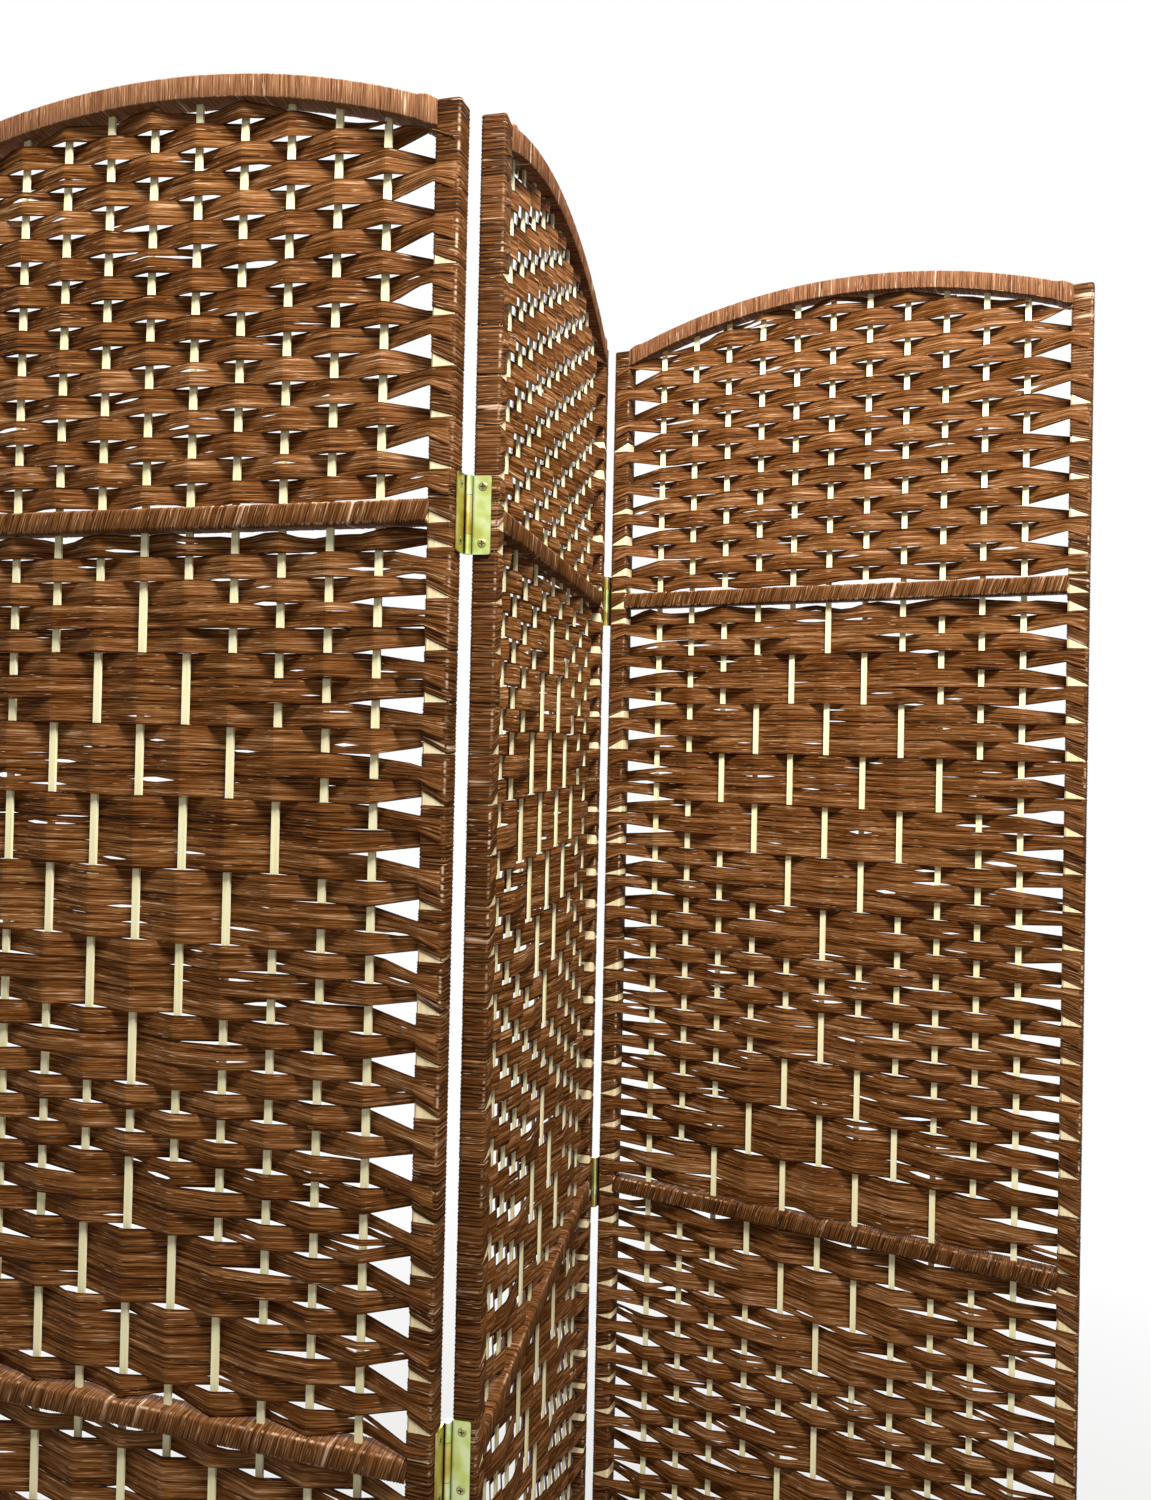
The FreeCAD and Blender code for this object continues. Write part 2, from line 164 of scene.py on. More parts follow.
rail_names = ("upper_rail", "middle_rail", "lower_rail", "bottom_rail")
pine = planed_pine()
nail_steel = drawn_steel()
for panel in panel_place:
    for piece in ("left_stile", "right_stile", "arched_rail") + rail_names:
        dress(panel + "_" + piece, pine)
    dress(panel + "_frame_nails", nail_steel)


# The stakes
# Eleven flat slats split from bamboo stand in slots in the rails of each panel.
# They are bare, so the eye sees pale cream with thin lengthwise fibres.
stake_count = 11
stile_width = 18.5 * mm
stake_pitch = (panel_width - 2 * stile_width) / (stake_count + 1)


def stake_place(number):
    """Centre line of a stake along the panel. The stiles' inner edges count as the stakes before
    the first and after the last."""
    return stile_width + number * stake_pitch


def split_bamboo():
    """Split bamboo: cream with faint straw-coloured fibres, half matt."""
    fibre_width = 0.7 * mm
    fibre_length = 60 * mm
    material = new_material("split_bamboo")
    place = add_node(material, "ShaderNodeTexCoord").outputs["Object"]
    stretched = add_node(material, "ShaderNodeMapping", {
        "Vector": place, "Scale": (1 / fibre_width, 1 / fibre_width, 1 / fibre_length)})
    fibres = add_node(material, "ShaderNodeTexNoise", {
        "Vector": stretched.outputs[0], "Scale": 1, "Detail": 3, "Roughness": 0.5})
    colour = set_ramp(add_node(material, "ShaderNodeValToRGB", {"Fac": fibres.outputs["Fac"]}),
                      (0.25, "#eddf9f"), (0.5, "#f7edbd"), (0.8, "#fcf6d8"))
    bump = add_node(material, "ShaderNodeBump", {
        "Height": fibres.outputs["Fac"], "Strength": 0.25, "Distance": 0.1 * mm})
    shader = add_node(material, "ShaderNodeBsdfPrincipled", {
        "Base Color": colour.outputs[0], "Normal": bump.outputs[0], "Roughness": 0.55, "IOR": 1.5})
    return close_material(material, shader)


bamboo = split_bamboo()
for panel in panel_place:
    dress(panel + "_stakes", bamboo)


# The woven bands
# Each band is a bundle of flat strands of dyed paper-fibre ribbon that runs over and under the
# stakes. At the stiles it is drawn narrow, crosses the front or the back and ends under the winding.
rail_height = 16.5 * mm
rail_half = rail_height / 2
stile_height = 1760 * mm
end_bay = 256.5 * mm
foot_length = 60 * mm
bottom_rail_level = foot_length
lower_rail_level = bottom_rail_level + end_bay
upper_rail_level = stile_height - end_bay
middle_rail_level = (lower_rail_level + upper_rail_level) / 2
arch_rise = 40 * mm
arch_end_rise = 2 * mm
arch_half_span = mid_width - stile_width
arch_sag = arch_rise - arch_end_rise
arch_radius = (arch_half_span ** 2 + arch_sag ** 2) / (2 * arch_sag)
arch_centre_level = stile_height + arch_rise - arch_radius
arch_bottom = arch_radius - rail_height

# The pattern: rows of plain weave, with diamonds whose bands pass the stakes three rows at a time
row_pitch = 16 * mm
arch_row_count = 17
diamond_steps = (0, 1, 2, 3, 2, 1, 0)
rows_per_step = 3
plain_steps_between = 1
diamond_start_row = {"left_panel": 2, "middle_panel": 2, "right_panel": 0}
dropped_fronts = ("left_panel_upper_bay", "left_panel_lower_bay")

# A strand, its ridges, the slits beside it and the painted shade along its edges
strands_in_band = 3
strand_columns = 3
strand_height = row_pitch / strands_in_band
strand_thickness = 0.4 * mm
strand_lap = 0.25 * mm
strand_lift = 0.15 * mm
strand_ridge = 0.12 * mm
ridge_length = 30 * mm
slit_length = 30 * mm
slit_threshold = 0.5
slit_growth = 6 * mm
strand_edge_shade = 0.5
band_edge_shade = 1.2

# A band's way past the stakes and over the stiles
band_wave = 4.5 * mm
band_sway = 1.2 * mm
sway_length = 90 * mm
band_crown = 0.5 * mm
drawn_half = 5.0 * mm
drawn_spans = 1.3
drawn_spans_change = 1.1
pair_shift = 2.9 * mm
fan_drop = 8 * mm
stake_bend = 2.2 * mm
stile_bend = 2.4 * mm
face_inset = 0.1 * mm
tail_start = 5 * mm
tail_inset = 2 * mm
tail_dip = 1.3 * mm
longest_step = 10.5 * mm

# The uneven gaps at the rails
gap_under_rail = 3.2 * mm
gap_over_rail = 2.2 * mm
ragged_mean = 0.8
ragged_change = 1.8
ragged_least = 0.1
least_height = 1.5 * mm

# Steps through the random noise: a large one keeps neighbours unlike, and a small one nearly alike
boundary_apart = 3.7
row_pull_apart = 0.37
end_apart = 0.7
column_apart = 5.3
sway_apart = 0.001
key_range = 100


def arch_level(x, radius):
    """Height of the arch's curve of a given radius at a place along the panel."""
    return arch_centre_level + math.sqrt(radius ** 2 - (x - mid_width) ** 2)


def stake_shows(row, number, start_row):
    """Whether a stake lies in front of a row's band. Rows count down from the upper rail."""
    steps_in_repeat = len(diamond_steps) + plain_steps_between
    step = ((row - start_row) // rows_per_step) % steps_in_repeat
    in_pattern = row >= start_row and step < len(diamond_steps)
    from_middle = abs(number - (stake_count + 1) / 2)
    if in_pattern and from_middle <= diamond_steps[step] + 1:
        return (step + number) % 2 == 0
    return (row + number) % 2 == 0


def bay_rows(first_row, top_level, bottom_level):
    """Row numbers and middle heights of the bands between two rails."""
    height = top_level - bottom_level - rail_height
    count = int(height / row_pitch)
    pitch = height / count
    top = top_level - rail_half
    return [(first_row + place, top - (place + 0.5) * pitch) for place in range(count)]


arch_foot = upper_rail_level + rail_half
arch_rows = [(-1 - place, arch_foot + (place + 0.5) * row_pitch) for place in range(arch_row_count)]
upper_rows = bay_rows(0, upper_rail_level, middle_rail_level)
lower_rows = bay_rows(len(upper_rows) + 1, middle_rail_level, lower_rail_level)
bottom_rows = bay_rows(lower_rows[-1][0] + 2, lower_rail_level, bottom_rail_level)
bays = {
    "arch_bay": (arch_rows, upper_rail_level, None),
    "upper_bay": (upper_rows, middle_rail_level, upper_rail_level),
    "lower_bay": (lower_rows, lower_rail_level, middle_rail_level),
    "bottom_bay": (bottom_rows, bottom_rail_level, lower_rail_level),
}


def stile_crossing(outer, inwards, side):
    """Corners of a band's run over a stile's face, from its tail under the winding inwards."""
    face = mid_depth + side * (mid_depth - face_inset)
    return [
        (outer + inwards * tail_inset, face - side * tail_dip, stile_bend),
        (outer + inwards * tail_start, face, stile_bend),
        (outer + inwards * (stile_width - stile_bend), face, stile_bend),
    ]


def band_line(row, start_row):
    """Corners of a band's line seen from above, each with the reach of its bend."""
    sides = [1 if stake_shows(row, number, start_row) else -1 for number in range(stake_count + 2)]
    woven = [(stake_place(number), mid_depth + sides[number] * band_wave, stake_bend)
             for number in range(1, stake_count + 1)]
    return stile_crossing(0, 1, sides[0]) + woven + stile_crossing(panel_width, -1, sides[-1])[::-1]


def rounded_path(corners):
    """Points along straight runs whose corners are rounded by parabolas."""
    points = [Vector(corners[0][:2])]

    def run_to(end):
        start = points[-1]
        steps = max(1, math.ceil((end - start).length / longest_step))
        points.extend(start.lerp(end, step / steps) for step in range(1, steps + 1))

    for before, corner, after in zip(corners, corners[1:], corners[2:]):
        here = Vector(corner[:2])
        back = Vector(before[:2]) - here
        ahead = Vector(after[:2]) - here
        start = here + back.normalized() * min(corner[2], back.length / 2)
        end = here + ahead.normalized() * min(corner[2], ahead.length / 2)
        run_to(start)
        points.extend(((start + end) / 4 + here / 2, end))
    run_to(Vector(corners[-1][:2]))
    return points


def point_at(path, x):
    """The point of a path at a place along the panel."""
    for start, end in zip(path, path[1:]):
        if start.x <= x <= end.x:
            return start.lerp(end, (x - start.x) / (end.x - start.x))


def trimmed(path, low, high):
    """The part of a path between two places along the panel."""
    return [point_at(path, low)] + [point for point in path if low < point.x < high] + [point_at(path, high)]


def drift(x, reach, key, second_key=0.5):
    """A smooth random number, mostly from -0.5 to 0.5, along the panel."""
    return noise.noise(Vector((x / reach, key, second_key)))


def pull(x, key):
    """How far a band is drawn together: fully at a stile, and not at all a stake or two further in."""
    from_stile = max(0, min(x, panel_width - x) - stile_width)
    panel_end = round(x / panel_width)
    reach = stake_pitch * (drawn_spans + drawn_spans_change * drift(panel_end, end_apart, key))
    return max(0, 1 - from_stile / reach)


def band_reach(x, pulled):
    """How far a band reaches below and above its middle. It is drawn narrow beside the stiles,
    and on their faces its lower edge fans out."""
    half = row_pitch / 2 - (row_pitch / 2 - drawn_half) * pulled
    fan = fan_drop * max(0, 1 - min(x, panel_width - x) / stile_width)
    return half + fan, half


def opening(x, boundary):
    """Half of the gap between two neighbouring strands. Below zero they lap over each other."""
    spread = drift(x, slit_length, boundary * boundary_apart)
    return max(-strand_lap, slit_growth * (spread - slit_threshold))


def strand_edges(path, level, number, first_boundary, sill, roof, shift):
    """Lower and upper edge of one strand at each point of its band's path. At the stiles the
    band is shifted towards the neighbour with which it forms a pair."""
    edges = []
    for point in path:
        x = point.x
        pulled = pull(x, first_boundary * row_pull_apart)
        below, above = band_reach(x, pulled)
        sway = band_sway * drift(x, sway_length, level / sway_length, first_boundary * sway_apart)
        middle = level + sway + shift * pulled
        ragged = max(ragged_least, ragged_mean + ragged_change * drift(x, slit_length, first_boundary))
        roof_here = roof if roof else arch_level(x, arch_bottom)
        bottom = max(middle - below, sill + gap_over_rail * ragged)
        top = min(middle + above, roof_here - gap_under_rail * ragged)
        step = (top - bottom) / strands_in_band
        low = bottom + number * step + opening(x, first_boundary + number)
        high = bottom + (number + 1) * step - opening(x, first_boundary + number + 1)
        edges.append((low, high))
    return edges


def add_strand(bm, path, edges, number):
    """One strand of a band: a strip of faces laid between its two edges. The band is crowned
    towards the side on which it passes the stakes."""
    strand_layer = bm.verts.layers.float_vector["strand"]
    shade_wear_tone_layer = bm.verts.layers.float_vector["shade_wear_tone"]
    key = random.random() * key_range
    tone = random.random()
    lift = random.uniform(-strand_lift, strand_lift)
    last = len(path) - 1
    lengths = [0]
    for start, end in zip(path, path[1:]):
        lengths.append(lengths[-1] + (end - start).length)
    strip = bmesh.ops.create_grid(bm, x_segments=last, y_segments=strand_columns, size=0.5)
    for vertex in strip["verts"]:
        station = round((vertex.co.x + 0.5) * last)
        column = round((vertex.co.y + 0.5) * strand_columns)
        across = column / strand_columns
        point = path[station]
        ahead = (path[min(station + 1, last)] - path[max(station - 1, 0)]).normalized()
        forward = (mid_depth - point.y) / band_wave
        bulge = max(-1, min(1, forward)) * max(0, min(1, 2 - abs(forward)))
        up_band = (number + across) / strands_in_band
        crown = band_crown * bulge * (1 - (2 * up_band - 1) ** 2)
        out = lift + crown + strand_ridge * drift(lengths[station], ridge_length, column * column_apart, key)
        low, high = edges[station]
        # Painted shade: the strand's edges are darkened, and the band's outer edges most, where the rows
        # meet and tuck under each other.
        shade = strand_edge_shade if column in (0, strand_columns) else 0
        if up_band in (0, 1):
            shade = band_edge_shade
        vertex[strand_layer] = (lengths[station], across * strand_height, key)
        vertex[shade_wear_tone_layer] = (shade, 0, tone)
        vertex.co = (point.x + ahead.y * out, point.y - ahead.x * out, low + (high - low) * across)


def dyed_ribbon(name, dark, mid, light, pale):
    """Dyed paper-fibre ribbon: half matt brown with fibres along its length and pale scuffs, darkened by
    painted shade along band edges and in the valleys between turns.
    The fibres are really about a quarter of a millimetre wide and are drawn coarser to show."""
    fibre_width = 0.9 * mm
    fibre_length = 32 * mm
    scuff_width = 0.8 * mm
    scuff_length = 13 * mm
    scuff_offset = (3, 7, 11)
    rub_width = 2.6 * mm
    tone_depth = 0.16
    shade_depth = 0.16
    material = new_material(name)
    strand = add_node(material, "ShaderNodeAttribute", attribute_name="strand").outputs["Vector"]
    shade_wear_tone = add_node(material, "ShaderNodeAttribute", attribute_name="shade_wear_tone").outputs["Vector"]
    shares = add_node(material, "ShaderNodeSeparateXYZ", {"Vector": shade_wear_tone})
    along_fibres = add_node(material, "ShaderNodeMapping", {
        "Vector": strand, "Scale": (1 / fibre_length, 1 / fibre_width, 1)})
    fibres = add_node(material, "ShaderNodeTexNoise", {
        "Vector": along_fibres.outputs[0], "Scale": 1, "Detail": 3, "Roughness": 0.65})
    toned = add_node(material, "ShaderNodeMath", {
        0: shares.outputs["Z"], 1: tone_depth, 2: fibres.outputs["Fac"]}, operation="MULTIPLY_ADD")
    # Painted shade: the first share of the ribbon layer darkens the fibre tone.
    shaded = add_node(material, "ShaderNodeMath", {
        0: shares.outputs["X"], 1: -shade_depth, 2: toned.outputs[0]}, operation="MULTIPLY_ADD")
    brown = set_ramp(add_node(material, "ShaderNodeValToRGB", {"Fac": shaded.outputs[0]}),
                     (0.38, dark), (0.54, mid), (0.70, light), (0.86, pale))
    along_scuffs = add_node(material, "ShaderNodeMapping", {
        "Vector": strand, "Location": scuff_offset, "Scale": (1 / scuff_length, 1 / scuff_width, 1)})
    scuffs = add_node(material, "ShaderNodeTexNoise", {
        "Vector": along_scuffs.outputs[0], "Scale": 1, "Detail": 1})
    scuffed = add_node(material, "ShaderNodeMapRange", {
        "Value": scuffs.outputs["Fac"], "From Min": 0.68, "From Max": 0.76, "To Max": 0.75})
    by_turns = add_node(material, "ShaderNodeMapping", {
        "Vector": strand, "Scale": (1 / fibre_length, 1 / rub_width, 1)})
    turns = add_node(material, "ShaderNodeTexNoise", {
        "Vector": by_turns.outputs[0], "Scale": 1, "Detail": 1})
    rubbed = add_node(material, "ShaderNodeMapRange", {
        "Value": turns.outputs["Fac"], "From Min": 0.46, "From Max": 0.62})
    worn = add_node(material, "ShaderNodeMath", {
        0: rubbed.outputs[0], 1: shares.outputs["Y"], 2: scuffed.outputs[0]}, operation="MULTIPLY_ADD")
    colour = add_node(material, "ShaderNodeMix", {
        "Factor": worn.outputs[0], 6: brown.outputs[0], 7: linear(pale)}, data_type="RGBA")
    bump = add_node(material, "ShaderNodeBump", {
        "Height": fibres.outputs["Fac"], "Strength": 0.8, "Distance": 0.6 * mm})
    shader = add_node(material, "ShaderNodeBsdfPrincipled", {
        "Base Color": colour.outputs[2], "Normal": bump.outputs[0], "Roughness": 0.55,
        "IOR": 1.5, "Specular IOR Level": 0.04})
    return close_material(material, shader)


def new_ribbon_mesh():
    """An empty mesh with the two layers that a ribbon's colours are read from: the place on the
    strand, and how far it is darkened by painted shade, how worn it is and how light its tone."""
    bm = bmesh.new()
    bm.verts.layers.float_vector.new("strand")
    bm.verts.layers.float_vector.new("shade_wear_tone")
    return bm


def finish_piece(bm, name, body, material, node):
    """Makes an object of a mesh that is already in place, and ties it to its body."""
    mesh = bpy.data.meshes.new(name)
    bm.to_mesh(mesh)
    bm.free()
    mesh.materials.append(material)
    piece = bpy.data.objects.new(name, mesh)
    bpy.context.scene.collection.objects.link(piece)
    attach(piece, body)
    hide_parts(node)
    return piece


woven_ribbon = dyed_ribbon("woven_paper_ribbon", "#281304", "#653a16", "#8f6138", "#d2ac88")
boundaries_in_panel = 400
random.seed(11)
for panel_number, (panel, place) in enumerate(panel_place.items()):
    for bay, (rows, rail_below, rail_above) in bays.items():
        bands = new_ribbon_mesh()
        sill = rail_below + rail_half
        roof = rail_above - rail_half if rail_above else None
        for row, level in rows:
            path = rounded_path(band_line(row, diamond_start_row[panel]))
            lowest_top = level - row_pitch / 2 + gap_under_rail + least_height
            if not roof and lowest_top > arch_level(stile_width, arch_bottom):
                reach = math.sqrt(arch_bottom ** 2 - (lowest_top - arch_centre_level) ** 2)
                path = trimmed(path, mid_width - reach, mid_width + reach)
            first_boundary = panel_number * boundaries_in_panel - row * strands_in_band
            front_drops = panel + "_" + bay in dropped_fronts
            shift = pair_shift if bool(row % 2) != front_drops else -pair_shift
            for number in range(strands_in_band):
                edges = strand_edges(path, level, number, first_boundary, sill, roof, shift)
                add_strand(bands, path, edges, number)
        bands.transform(place)
        piece = finish_piece(bands, panel + "_" + bay + "_bands", panel, woven_ribbon,
                             panel + "_" + bay + "_weave")
        wall = piece.modifiers.new("thickness", "SOLIDIFY")
        wall.thickness = strand_thickness
        wall.offset = 0


# The windings
# The same ribbon is wound tightly round the stiles and rails. The arches, which take most light, get a
# lighter and greyer copy of it: painted light and sheen.
# On the stiles, blocks of turns leave bare wedges of wood over the bands that cross there.
stile_turn_width = 2.6 * mm
rail_turn_width = 2.0 * mm
arch_turn_width = 1.6 * mm
# How dark the painted shade is in the valleys between turns on each bar
stile_valley_shade = 0.8
rail_valley_shade = 0.6
arch_valley_shade = 0.3
wood_inset = 1.0 * mm
winding_lift = 0.45 * mm
turn_crest = 0.22 * mm
turn_unevenness = 0.12 * mm
turn_waver = 0.55 * mm
waver_length = 12 * mm
stile_corner = 2.0 * mm
arch_corner = 0.5 * mm
corner_steps = 3
rail_turn_lean = 0.3
end_tuck = 2.2 * mm
shoulder_length = 14 * mm
shoulder_swell = 0.14

# The blocks of turns on a stile
bare_foot = 6 * mm
break_over_band = 9 * mm
block_lap = 0.3 * mm
least_block = 9 * mm
wedge_heights = (0.4 * mm, 6 * mm, 7 * mm, 8 * mm, 9 * mm, 10 * mm)
closed_top = 80 * mm
cap_inset = 3 * mm
cap_dome = 0.3 * mm
cap_key = 1
cap_shade = 0.3
cap_tone = 0.5

# The ribbon's tones and wear, and the steps through the noise that keep turns unlike
block_tone_range = 0.6
turn_tone_range = 0.4
pale_turn_share = 0.03
mean_rub = 0.45
rub_change = 1.5
fade_length = 70 * mm
unrubbed_rows = 4
lift_apart = 0.9
waver_apart = 0.23
seam_weld = 0.01 * mm


def section(width, depth, radius):
    """Points round a bar's rounded section, each with its outward direction, the length round
    the bar up to it, and whether it lies on a corner."""
    corners = []
    for quarter in range(4):
        centre = Vector(((width / 2 - radius) * (1 if quarter in (0, 3) else -1),
                         (depth / 2 - radius) * (1 if quarter in (0, 1) else -1)))
        for step in range(corner_steps + 1):
            angle = math.radians(90 * (quarter + step / corner_steps))
            outward = Vector((math.cos(angle), math.sin(angle)))
            corners.append((centre + outward * radius, outward, step == 1))
    points = []
    for (point, outward, on_corner), (after, _, _) in zip(corners, corners[1:] + corners[:1]):
        points.append((point, outward, on_corner))
        if (after - point).length > 2 * radius:
            points.append(((point + after) / 2, outward, False))
    seam = corner_steps - 1
    points = points[seam:] + points[:seam + 1]
    ring = []
    length = 0
    for index, (point, outward, on_corner) in enumerate(points):
        if index:
            length += (point - points[index - 1][0]).length
        ring.append((point, outward, length, on_corner))
    return ring


def add_winding(bm, ring, span, turn_width, valley_shade, tucked, locate, spot):
    """A block of turns: a sheet rolled round a bar and ridged turn by turn, with painted shade in the
    valleys between turns and at its ends. Its ends may be tucked down to the wood."""
    strand_layer = bm.verts.layers.float_vector["strand"]
    shade_wear_tone_layer = bm.verts.layers.float_vector["shade_wear_tone"]
    turns = round(span / turn_width)
    key = random.random() * key_range
    block_tone = random.uniform(0, block_tone_range)
    tones = [block_tone + random.uniform(0, turn_tone_range) for number in range(turns + 1)]
    wear = [1 if random.random() < pale_turn_share else 0 for number in range(turns + 1)]
    rows = 2 * turns
    columns = len(ring) - 1
    sheet = bmesh.ops.create_grid(bm, x_segments=columns, y_segments=rows, size=0.5)
    for vertex in sheet["verts"]:
        point, outward, length, on_corner = ring[round((vertex.co.x + 0.5) * columns)]
        share = vertex.co.y + 0.5
        row = round(share * rows)
        crest = 1 if row % 2 else -1
        at_end = row in (0, rows)
        near_end = min(row, rows - row) < unrubbed_rows
        around = point / waver_length
        uneven = noise.noise(Vector((around.x, around.y, row * lift_apart + key)))
        lift = winding_lift + turn_crest * crest + 2 * turn_unevenness * uneven
        side = point + outward * (0 if at_end and tucked else lift)
        shift = turn_waver * noise.noise(Vector((around.x, around.y, row * waver_apart - key)))
        rubbed = 0 if near_end else max(0, mean_rub + rub_change * drift(share * span, fade_length, key))
        # Painted shade: darkest at the block's ends, and in the valleys between the turns' crests.
        shade = 1 if at_end else valley_shade * (0.5 - 0.5 * crest)
        vertex[strand_layer] = (length, share * span, key)
        vertex[shade_wear_tone_layer] = (shade, rubbed if on_corner else wear[row // 2], tones[row // 2])
        vertex.co = locate(side, share, shift, *spot)
    bmesh.ops.remove_doubles(bm, verts=sheet["verts"], dist=seam_weld)


rail_span = panel_width - 2 * (stile_width - end_tuck)


def on_stile(side, share, shift, outer, inwards, foot, head, wedge):
    """A point of a stile's winding between the foot and the head of its block."""
    from_outer = stile_width / 2 + inwards * side.x
    low = foot + wedge * from_outer / stile_width
    x = outer + inwards * stile_width / 2 + side.x
    return (x, mid_depth + side.y, low + (head - low) * share + shift)


def on_rail(side, share, shift, level):
    """A point of a straight rail's winding."""
    along = rail_span * (share - 0.5) + shift + rail_turn_lean * side.y
    x = mid_width + max(-rail_span / 2, min(rail_span / 2, along))
    return (x, mid_depth + side.x, level + side.y)


def on_arch(side, share, shift):
    """A point of the arched rail's winding, which swells where its ends are tied beside the stiles."""
    from_end = rail_span * min(share, 1 - share)
    swell = 1 + shoulder_swell * math.sin(math.pi * min(1, from_end / shoulder_length))
    x = mid_width + rail_span * (share - 0.5)
    return (x + shift, mid_depth + side.x * swell, arch_level(x, arch_radius - rail_half + side.y * swell))


rail_levels = (upper_rail_level, middle_rail_level, lower_rail_level, bottom_rail_level)
breaks = [level + break_over_band for rows, _, _ in bays.values() for row, level in rows if row % 2]
for level in rail_levels:
    breaks = [edge for edge in breaks if abs(edge - level) > rail_half + least_block]
    breaks += [level - rail_half, level + rail_half]
breaks = sorted(edge for edge in breaks if bare_foot + least_block < edge < stile_height - least_block)
block_feet = [bare_foot] + breaks
block_heads = breaks + [stile_height]
wound_ribbon = dyed_ribbon("wound_paper_ribbon", "#271306", "#5b3617", "#855a36", "#d3b090")
# Painted light and sheen: a lighter, greyer copy of the ribbon for the arches.
arch_lit_ribbon = dyed_ribbon("arch_painted_light_ribbon", "#432513", "#7a4f33", "#9d7250", "#d8b89a")
stile_ring = section(stile_width - 2 * wood_inset, frame_depth - 2 * wood_inset, stile_corner)
rail_ring = section(frame_depth - 2 * wood_inset, rail_height - 2 * wood_inset, stile_corner)
arch_ring = section(frame_depth - 2 * wood_inset, rail_height - 2 * wood_inset, arch_corner)
for panel, place in panel_place.items():
    sleeves = new_ribbon_mesh()
    for outer, inwards in ((0, 1), (panel_width, -1)):
        for foot, head in zip(block_feet, block_heads):
            closed = foot == bare_foot or foot > stile_height - closed_top
            wedge = 0 if closed else random.choice(wedge_heights)
            add_winding(sleeves, stile_ring, head - foot, stile_turn_width, stile_valley_shade, True, on_stile,
                        (outer, inwards, foot, head + block_lap, wedge))
    top_rims = [edge for edge in sleeves.edges
                if edge.is_boundary and min(v.co.z for v in edge.verts) > stile_height - stile_turn_width]
    caps = bmesh.ops.edgeloop_fill(sleeves, edges=top_rims)
    bmesh.ops.inset_individual(sleeves, faces=caps["faces"], thickness=cap_inset, depth=cap_dome,
                               use_even_offset=True)
    for face in caps["faces"]:
        # The caps get a light painted shade and a middle tone.
        for vertex in face.verts:
            vertex[sleeves.verts.layers.float_vector["strand"]] = (vertex.co.x, vertex.co.y, cap_key)
            vertex[sleeves.verts.layers.float_vector["shade_wear_tone"]] = (cap_shade, 0, cap_tone)
    rails = new_ribbon_mesh()
    for level in rail_levels:
        add_winding(rails, rail_ring, rail_span, rail_turn_width, rail_valley_shade, False, on_rail, (level,))
    arch = new_ribbon_mesh()
    add_winding(arch, arch_ring, rail_span, arch_turn_width, arch_valley_shade, False, on_arch, ())
    for mesh, name, ribbon, node in ((sleeves, "_stile_winding", wound_ribbon, "_stile_wraps"),
                                     (rails, "_rail_winding", wound_ribbon, "_rail_wraps"),
                                     (arch, "_arch_winding", arch_lit_ribbon, "_arch_wrap")):
        bmesh.ops.recalc_face_normals(mesh, faces=mesh.faces)
        mesh.transform(place)
        piece = finish_piece(mesh, panel + name, panel, ribbon, panel + node)
        piece.data.shade_smooth()


# The hinges
# Butt hinges of pressed steel with yellow passivated zinc plate, held by cross-head screws.
# The plate is a satin yellow-green; the leaves that face away from the light get a darker, more golden copy
# of it, which is painted shade.
leaf_recess = 2.5 * mm
cross_recess = 1.2 * mm


def yellow_zinc(name, recess, golden, green, pale, recess_shade_colour):
    """Yellow passivated zinc on rolled steel: satin metal with a drifting greenish tint, and painted
    shade darkening its narrow corners and recesses, read from ambient occlusion."""
    tint_patch = 14 * mm
    grit = 0.4 * mm
    material = new_material(name)
    place = add_node(material, "ShaderNodeTexCoord").outputs["Object"]
    tint = add_node(material, "ShaderNodeTexNoise", {"Vector": place, "Scale": 1 / tint_patch, "Detail": 2})
    plate = set_ramp(add_node(material, "ShaderNodeValToRGB", {"Fac": tint.outputs["Fac"]}),
                     (0.35, golden), (0.5, green), (0.65, pale))
    # Painted shade: narrow corners and the screws' cross recesses are darkened by ambient occlusion.
    open_air = add_node(material, "ShaderNodeAmbientOcclusion", {"Distance": recess}, samples=8)
    painted_recess_shade = add_node(material, "ShaderNodeMapRange", {
        "Value": open_air.outputs["AO"], "From Min": 0.45, "From Max": 0.85, "To Min": 1, "To Max": 0})
    colour = add_node(material, "ShaderNodeMix", {
        "Factor": painted_recess_shade.outputs[0], 6: plate.outputs[0], 7: linear(recess_shade_colour)}, data_type="RGBA")
    rough = add_node(material, "ShaderNodeTexNoise", {"Vector": place, "Scale": 1 / grit, "Detail": 2})
    spread = add_node(material, "ShaderNodeMapRange", {
        "Value": rough.outputs["Fac"], "To Min": 0.28, "To Max": 0.46})
    shader = add_node(material, "ShaderNodeBsdfPrincipled", {
        "Base Color": colour.outputs[2], "Metallic": 1, "Roughness": spread.outputs[0]})
    return close_material(material, shader)


green_zinc = yellow_zinc("yellow_passivated_zinc", leaf_recess, "#b9b860", "#c3d07c", "#d6dfab", "#2c2a10")
# Painted shade: a darker, more golden copy of the plate for the leaves facing away from the light.
golden_shaded_zinc = yellow_zinc("golden_zinc_painted_shade", leaf_recess, "#a8923e", "#c2b05a", "#d4ca86", "#2a220e")
screw_zinc = yellow_zinc("worn_zinc_screws", cross_recess, "#7f7a3f", "#97955a", "#b1ae7c", "#1c1a0a")
for fold in ("left_fold", "right_fold"):
    dress(fold + "_left_leaves", golden_shaded_zinc)
    dress(fold + "_right_leaves", green_zinc)
    for piece in ("left_screws", "right_screws", "pins"):
        dress(fold + "_" + piece, screw_zinc)


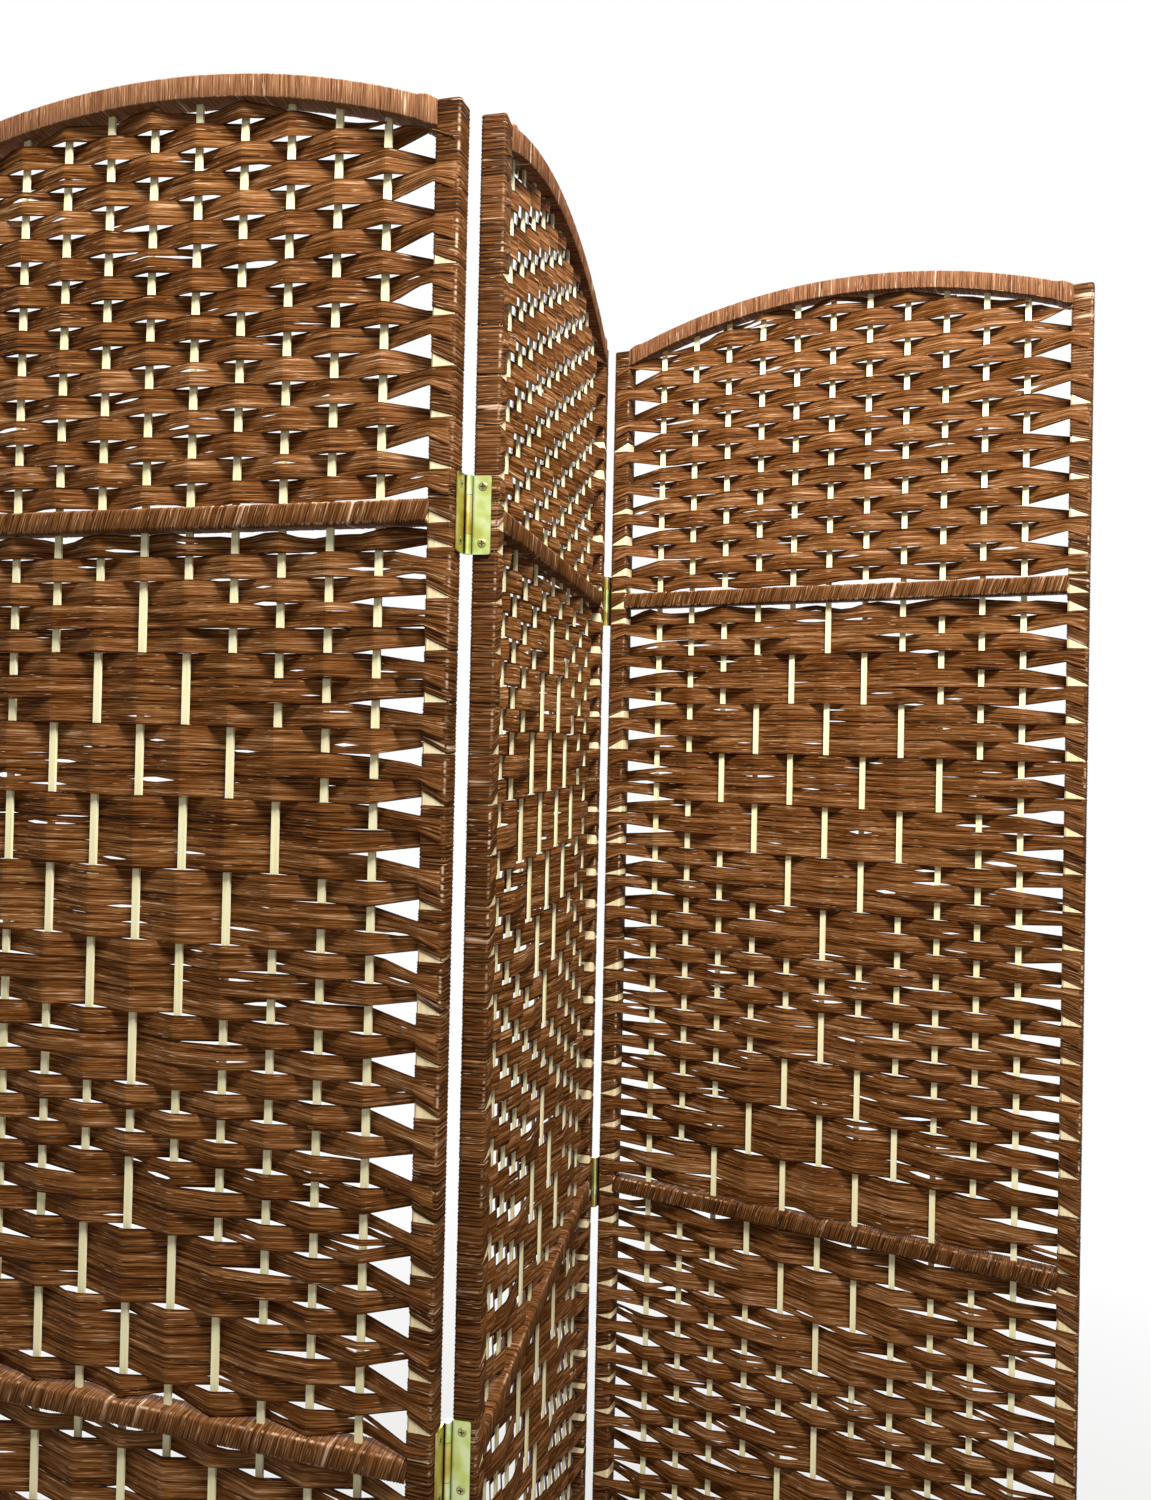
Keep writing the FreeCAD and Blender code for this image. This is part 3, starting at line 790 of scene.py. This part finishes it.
# The stage
# A plain pale floor under soft light from above, with a white surround.
# The camera stands where the picture was taken, at shoulder height before the folded screen.
floor_reach = 9.0
floor_mesh = bmesh.new()
bmesh.ops.create_grid(floor_mesh, x_segments=1, y_segments=1, size=floor_reach)
floor_data = bpy.data.meshes.new("floor")
floor_mesh.to_mesh(floor_data)
floor_mesh.free()
floor = bpy.data.objects.new("floor", floor_data)
bpy.context.scene.collection.objects.link(floor)


def seen_directly(material):
    """1 where a ray comes straight from the camera or by way of a mirror or glass, else 0."""
    path = add_node(material, "ShaderNodeLightPath").outputs
    first = add_node(material, "ShaderNodeMath", {
        0: path["Is Camera Ray"], 1: path["Is Glossy Ray"]}, operation="MAXIMUM")
    return add_node(material, "ShaderNodeMath", {
        0: first.outputs[0], 1: path["Is Transmission Ray"]}, operation="MAXIMUM").outputs[0]


def pale_floor():
    """A matt pale floor that keeps soft shadows round the object and melts into the white
    surround further off."""
    shadow_near = 0.8
    white_from = 2.4
    glow_near = 0.6
    material = new_material("pale_floor")
    place = add_node(material, "ShaderNodeTexCoord").outputs["Object"]
    distance = add_node(material, "ShaderNodeVectorMath", {0: place}, operation="LENGTH").outputs["Value"]
    fade = add_node(material, "ShaderNodeMapRange", {
        "Value": distance, "From Min": shadow_near, "From Max": white_from,
        "To Min": glow_near, "To Max": 1})
    matt = add_node(material, "ShaderNodeBsdfDiffuse", {"Color": linear("#b8b6b2")})
    glow = add_node(material, "ShaderNodeEmission", {"Color": linear("#ffffff"), "Strength": 1})
    share = add_node(material, "ShaderNodeMath", {
        0: seen_directly(material), 1: fade.outputs[0]}, operation="MULTIPLY")
    mixed = add_node(material, "ShaderNodeMixShader", {
        "Fac": share.outputs[0], 1: matt.outputs[0], 2: glow.outputs[0]})
    return close_material(material, mixed)


floor_data.materials.append(pale_floor())

world = bpy.data.worlds.new("white_surround")
world.use_nodes = True
world.node_tree.nodes.clear()
fill_strength = 0.12
fill_light = add_node(world, "ShaderNodeBackground", {"Color": linear("#ffffff"), "Strength": fill_strength})
white = add_node(world, "ShaderNodeBackground", {"Color": linear("#ffffff"), "Strength": 1})
surround = add_node(world, "ShaderNodeMixShader", {
    "Fac": seen_directly(world), 1: fill_light.outputs[0], 2: white.outputs[0]})
add_node(world, "ShaderNodeOutputWorld", {"Surface": surround.outputs[0]})
bpy.context.scene.world = world


def add_lamp(name, place, aim, size, power):
    """A square soft lamp pointed at a place."""
    light = bpy.data.lights.new(name, "AREA")
    light.size = size
    light.energy = power
    lamp = bpy.data.objects.new(name, light)
    bpy.context.scene.collection.objects.link(lamp)
    lamp.location = place
    lamp.visible_camera = False
    lamp.rotation_euler = (Vector(aim) - Vector(place)).to_track_quat("-Z", "Y").to_euler()


add_lamp("ceiling_lamp", place=(0.3, -0.8, 2.7), aim=(0.0, 0.0, 1.3), size=0.6, power=66)
add_lamp("front_lamp", place=(0.1, -2.2, 1.9), aim=(0.0, 0.0, 1.2), size=1.2, power=5)
add_lamp("rear_lamp", place=(-0.3, 1.9, 2.4), aim=(0.0, 0.0, 1.0), size=1.4, power=65)

photo_height_pixels = 1500
focal_pixels = 1124.6
sensor = 36.0
lens_shift = -0.02
camera_place = (0.0363, -0.9306, 1.3661)
camera_pitch = math.radians(90.733)
camera_roll = math.radians(-1.203)
camera_data = bpy.data.cameras.new("camera")
camera_data.sensor_width = sensor
camera_data.lens = sensor * focal_pixels / photo_height_pixels
camera_data.shift_y = lens_shift
camera = bpy.data.objects.new("camera", camera_data)
camera.location = camera_place
camera.rotation_euler = (camera_pitch, camera_roll, 0)
bpy.context.scene.collection.objects.link(camera)
bpy.context.scene.camera = camera
bpy.context.scene.view_settings.view_transform = "Standard"
